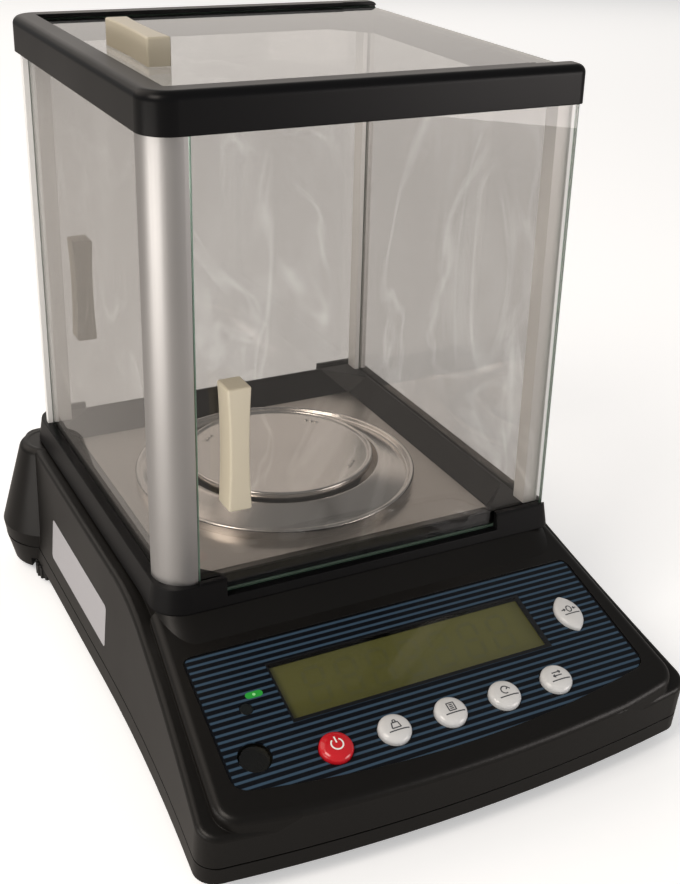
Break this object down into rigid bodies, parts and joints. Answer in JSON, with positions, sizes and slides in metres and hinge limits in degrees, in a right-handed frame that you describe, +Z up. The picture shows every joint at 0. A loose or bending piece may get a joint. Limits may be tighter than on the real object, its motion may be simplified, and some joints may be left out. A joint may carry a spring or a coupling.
{
  "type": "digital balance with draft shield",
  "caption": "Top-pan digital balance with a glass draft shield, three sliding glass doors, sloping console with display and keys, and levelling feet.",
  "frame": {"origin": "on the table, under the middle of the balance's box", "axes": "+Z up, -Y towards the user, +X to the user's right"},
  "size_m": [0.228, 0.2991, 0.2833],
  "materials": {
    "housing": "fine moulded texture",
    "frame": "semi-gloss",
    "panel": "printed satin film",
    "window": "clear over a dark display",
    "glass": "clear, green at the edges",
    "post": "satin anodised",
    "handle": "ivory, smooth",
    "steel": "fine brushed",
    "screw": "plain",
    "cell": "machined",
    "circuit": "lacquered",
    "module": "moulded",
    "red_key": "glossy",
    "white_key": "glossy",
    "lamp": "translucent, dark when off",
    "rubber": "matte",
    "wheel": "knurled"
  },
  "bodies": {
    "balance": {"battery_cover": "housing", "battery_pack": "module", "board_screws": "screw", "carrier_arm": "cell", "case_screws": "screw", "chassis": "cell", "console_panel": "panel", "data_port": "module", "dc_inlet": "module", "display_board": "circuit", "display_module": "module", "display_window": "window", "floor_plate": "steel", "front_foot_left": "rubber", "front_foot_right": "rubber", "level_cup": "module", "level_vial": "glass", "load_cell": "cell", "lower_frame": "frame", "lower_housing": "housing", "main_board": "circuit", "pane_left": "glass", "pane_right": "glass", "post_front_left": "post", "post_front_right": "post", "post_rear_left": "post", "post_rear_right": "post", "spindle": "screw", "status_lamp": "lamp", "tie_screws": "screw", "top_frame": "frame", "upper_housing": "housing"},
    "front_door": {"front_door": "glass", "front_handle": "handle"},
    "rear_door": {"rear_door": "glass", "rear_handle": "handle"},
    "top_door": {"top_door": "glass", "top_handle": "handle"},
    "pan": {"pan": "steel"},
    "draft_ring": {"draft_ring": "steel"},
    "key_power": {"key_power": "red_key"},
    "key_calibrate": {"key_calibrate": "white_key"},
    "key_print": {"key_print": "white_key"},
    "key_mode": {"key_mode": "white_key"},
    "key_units": {"key_units": "white_key"},
    "key_tare": {"key_tare": "white_key"},
    "foot_left": {"foot_pad_left": "rubber"},
    "wheel_left": {"foot_wheel_left": "wheel"},
    "foot_right": {"foot_pad_right": "rubber"},
    "wheel_right": {"foot_wheel_right": "wheel"}
  },
  "joints": [
    {"name": "front_door_slide", "type": "slide", "parent": "balance", "child": "front_door", "axis": [1, 0, 0], "range_m": [0, 0.14]},
    {"name": "rear_door_slide", "type": "slide", "parent": "balance", "child": "rear_door", "axis": [1, 0, 0], "range_m": [0, 0.14]},
    {"name": "top_door_slide", "type": "slide", "parent": "balance", "child": "top_door", "axis": [1, 0, 0], "range_m": [0, 0.14]},
    {"name": "pan_lift", "type": "slide", "parent": "balance", "child": "pan", "axis": [0, 0, 1], "range_m": [0, 0.025]},
    {"name": "draft_ring_lift", "type": "slide", "parent": "balance", "child": "draft_ring", "axis": [0, 0, 1], "range_m": [0, 0.015]},
    {"name": "key_power_press", "type": "slide", "parent": "balance", "child": "key_power", "axis": [0, 0.2957, -0.9553], "range_m": [0, 0.0008], "stiffness_N_per_m": 400, "springref_m": -0.0005},
    {"name": "key_calibrate_press", "type": "slide", "parent": "balance", "child": "key_calibrate", "axis": [0, 0.2957, -0.9553], "range_m": [0, 0.0008], "stiffness_N_per_m": 400, "springref_m": -0.0005},
    {"name": "key_print_press", "type": "slide", "parent": "balance", "child": "key_print", "axis": [0, 0.2957, -0.9553], "range_m": [0, 0.0008], "stiffness_N_per_m": 400, "springref_m": -0.0005},
    {"name": "key_mode_press", "type": "slide", "parent": "balance", "child": "key_mode", "axis": [0, 0.2957, -0.9553], "range_m": [0, 0.0008], "stiffness_N_per_m": 400, "springref_m": -0.0005},
    {"name": "key_units_press", "type": "slide", "parent": "balance", "child": "key_units", "axis": [0, 0.2957, -0.9553], "range_m": [0, 0.0008], "stiffness_N_per_m": 400, "springref_m": -0.0005},
    {"name": "key_tare_press", "type": "slide", "parent": "balance", "child": "key_tare", "axis": [0, 0.2957, -0.9553], "range_m": [0, 0.0008], "stiffness_N_per_m": 400, "springref_m": -0.0005},
    {"name": "foot_left_screw", "type": "slide", "parent": "balance", "child": "foot_left", "axis": [0, 0, -1], "range_m": [0, 0.004]},
    {"name": "wheel_left_turn", "type": "hinge", "parent": "foot_left", "child": "wheel_left", "pos_m": [-0.092, 0.1026, 0.0054], "axis": [0, 0, -1], "range_deg": [0, 1160]},
    {"name": "foot_right_screw", "type": "slide", "parent": "balance", "child": "foot_right", "axis": [0, 0, -1], "range_m": [0, 0.004]},
    {"name": "wheel_right_turn", "type": "hinge", "parent": "foot_right", "child": "wheel_right", "pos_m": [0.092, 0.1026, 0.0054], "axis": [0, 0, -1], "range_deg": [0, 1160]}
  ],
  "couplings": [
    {"joint": "wheel_left_turn", "follows": "foot_left_screw", "rad_per_m": 5026.5},
    {"joint": "wheel_right_turn", "follows": "foot_right_screw", "rad_per_m": 5026.5}
  ]
}
